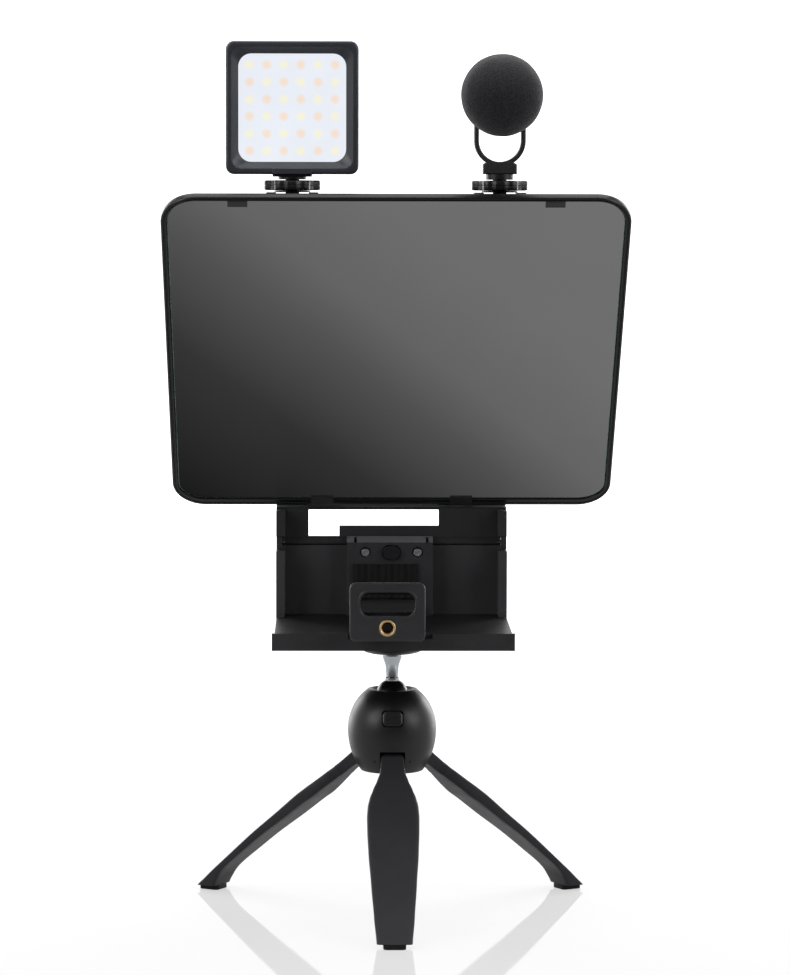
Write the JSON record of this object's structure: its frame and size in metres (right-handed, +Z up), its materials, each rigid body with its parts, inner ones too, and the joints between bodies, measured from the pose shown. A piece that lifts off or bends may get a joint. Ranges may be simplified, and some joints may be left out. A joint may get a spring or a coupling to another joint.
{
  "type": "desktop teleprompter",
  "caption": "Small teleprompter: table tripod with ball head, tray with phone clamp, hinged slanting beam-splitter glass with light and microphone on top, and a phone clamp behind the glass.",
  "frame": {"origin": "on the table under the middle of the whole object's bounding box, with the tripod's axis 27.6 mm behind it", "axes": "+Z up; -Y is the front, the speaker's side, towards which the glass leans; +X is the right side seen from the front"},
  "size_m": [0.204, 0.2064, 0.3963],
  "materials": {
    "tripod_shell": "satin black glass-filled plastic",
    "leg_plastic": "satin dark grey plastic",
    "rubber": "matte black rubber",
    "steel": "plain zinc-plated steel",
    "spring": "drawn spring steel",
    "seat": "self-lubricating white plastic",
    "ball": "black anodised",
    "stud": "polished chrome",
    "brass": "machined brass",
    "clamp_plastic": "fine-textured black plastic",
    "button": "smooth black",
    "frame_metal": "dark grey anodised with bright edges",
    "glass": "half-mirror coated",
    "lamp_shell": "satin slate plastic",
    "diffuser": "opal white, lit from behind",
    "board": "white solder mask",
    "chip": "phosphor yellow",
    "cell": "wrapped lithium cell",
    "mic_metal": "black anodised",
    "mic_capsule": "perforated steel",
    "foam": "open-cell acoustic foam"
  },
  "bodies": {
    "tripod": {"hub_shell": "tripod_shell", "hub_base_cap": "tripod_shell", "button_spring": "spring", "leg_pins": "steel"},
    "head_lock": {"lock_button": "button"},
    "front_leg": {"leg_front": "leg_plastic", "foot_front": "rubber"},
    "left_leg": {"leg_left": "leg_plastic", "foot_left": "rubber"},
    "right_leg": {"leg_right": "leg_plastic", "foot_right": "rubber"},
    "seat": {"ball_seat": "seat"},
    "head": {"ball": "ball", "ball_stud": "stud"},
    "base": {"tray": "clamp_plastic", "tray_insert": "brass", "back_panel": "clamp_plastic", "clamp_rail": "clamp_plastic", "rear_jaw": "clamp_plastic", "rear_jaw_pad": "rubber", "jaw_screws": "steel", "clamp_button_spring": "spring", "fold_pins": "steel"},
    "release": {"clamp_button": "button"},
    "sliding_jaw": {"front_jaw": "clamp_plastic", "front_jaw_pad": "rubber", "jaw_insert": "brass"},
    "upper": {"upper_panel": "clamp_plastic", "rear_upright": "clamp_plastic", "upright_screws": "steel", "rear_rail": "clamp_plastic", "frame_hinge_pins": "steel"},
    "carriage": {"rear_spine": "clamp_plastic", "rear_lower_pad": "rubber", "rear_stud": "steel"},
    "knob": {"rear_knob": "clamp_plastic"},
    "top_jaw": {"rear_top_jaw": "clamp_plastic", "rear_top_pad": "rubber"},
    "frame": {"frame_ring": "frame_metal", "glass": "glass", "glass_clips": "clamp_plastic", "cold_shoe_left": "clamp_plastic", "cold_shoe_right": "clamp_plastic"},
    "light": {"led_case": "lamp_shell", "led_bezel": "lamp_shell", "led_diffuser": "diffuser", "led_board": "board", "led_chips": "chip", "led_battery": "cell", "led_mount": "tripod_shell"},
    "light_button": {"led_button": "button"},
    "light_wheel": {"led_wheel": "tripod_shell"},
    "microphone": {"mic_tube": "mic_metal", "mic_capsule": "mic_capsule", "mic_foam": "foam", "mic_lyre": "clamp_plastic", "mic_foot": "tripod_shell", "mic_jack": "brass"},
    "microphone_wheel": {"mic_wheel": "tripod_shell"}
  },
  "joints": [
    {"name": "front_leg_fold", "type": "hinge", "parent": "tripod", "child": "front_leg", "pos_m": [0, 0.0131, 0.0705], "axis": [1, 0, 0], "range_deg": [0, 48]},
    {"name": "left_leg_fold", "type": "hinge", "parent": "tripod", "child": "left_leg", "pos_m": [-0.01256, 0.03485, 0.0705], "axis": [-0.5, -0.866, 0], "range_deg": [0, 48]},
    {"name": "right_leg_fold", "type": "hinge", "parent": "tripod", "child": "right_leg", "pos_m": [0.01256, 0.03485, 0.0705], "axis": [-0.5, 0.866, 0], "range_deg": [0, 48]},
    {"name": "head_lock_push", "type": "slide", "parent": "tripod", "child": "head_lock", "axis": [0, 1, 0], "range_m": [0, 0.0015], "stiffness_N_per_m": 600, "springref_m": -0.0015, "deforming": ["button_spring"]},
    {"name": "head_turn", "type": "hinge", "parent": "tripod", "child": "seat", "pos_m": [0, 0.0276, 0.09], "axis": [0, 0, 1], "continuous": true},
    {"name": "head_tilt", "type": "hinge", "parent": "seat", "child": "head", "pos_m": [0, 0.0276, 0.099], "axis": [1, 0, 0], "range_deg": [-35, 35]},
    {"name": "head_pan", "type": "hinge", "parent": "head", "child": "base", "pos_m": [0, 0.0276, 0.1184], "axis": [0, 0, 1], "continuous": true},
    {"name": "front_jaw_slide", "type": "slide", "parent": "base", "child": "sliding_jaw", "axis": [0, -1, 0], "range_m": [-0.0065, 0.016]},
    {"name": "clamp_release_push", "type": "slide", "parent": "base", "child": "release", "axis": [0, 1, 0], "range_m": [0, 0.001], "stiffness_N_per_m": 700, "springref_m": -0.001, "deforming": ["clamp_button_spring"]},
    {"name": "panel_fold", "type": "hinge", "parent": "base", "child": "upper", "pos_m": [0, 0.06685, 0.166], "axis": [1, 0, 0], "range_deg": [-90, 0]},
    {"name": "frame_tilt", "type": "hinge", "parent": "upper", "child": "frame", "pos_m": [0, 0.06607, 0.18941], "axis": [1, 0, 0], "range_deg": [-25, 38]},
    {"name": "rear_clamp_slide", "type": "slide", "parent": "upper", "child": "carriage", "axis": [1, 0, 0], "range_m": [-0.026, 0.014]},
    {"name": "rear_knob_turn", "type": "hinge", "parent": "carriage", "child": "knob", "pos_m": [-0.054, 0.0753, 0.251], "axis": [0, 1, 0], "continuous": true},
    {"name": "rear_top_jaw_slide", "type": "slide", "parent": "carriage", "child": "top_jaw", "axis": [0, 0, 1], "range_m": [-0.01, 0.015]},
    {"name": "light_slide", "type": "slide", "parent": "frame", "child": "light", "axis": [0, 1, 0], "range_m": [0, 0.02]},
    {"name": "light_button_push", "type": "slide", "parent": "light", "child": "light_button", "axis": [0, -1, 0], "range_m": [0, 0.001], "stiffness_N_per_m": 500, "springref_m": -0.0005},
    {"name": "light_wheel_turn", "type": "hinge", "parent": "light", "child": "light_wheel", "pos_m": [-0.045, -0.0624, 0.33415], "axis": [0, 0, 1], "continuous": true},
    {"name": "microphone_slide", "type": "slide", "parent": "frame", "child": "microphone", "axis": [0, 1, 0], "range_m": [0, 0.02]},
    {"name": "microphone_wheel_turn", "type": "hinge", "parent": "microphone", "child": "microphone_wheel", "pos_m": [0.045, -0.0624, 0.33415], "axis": [0, 0, 1], "continuous": true}
  ]
}
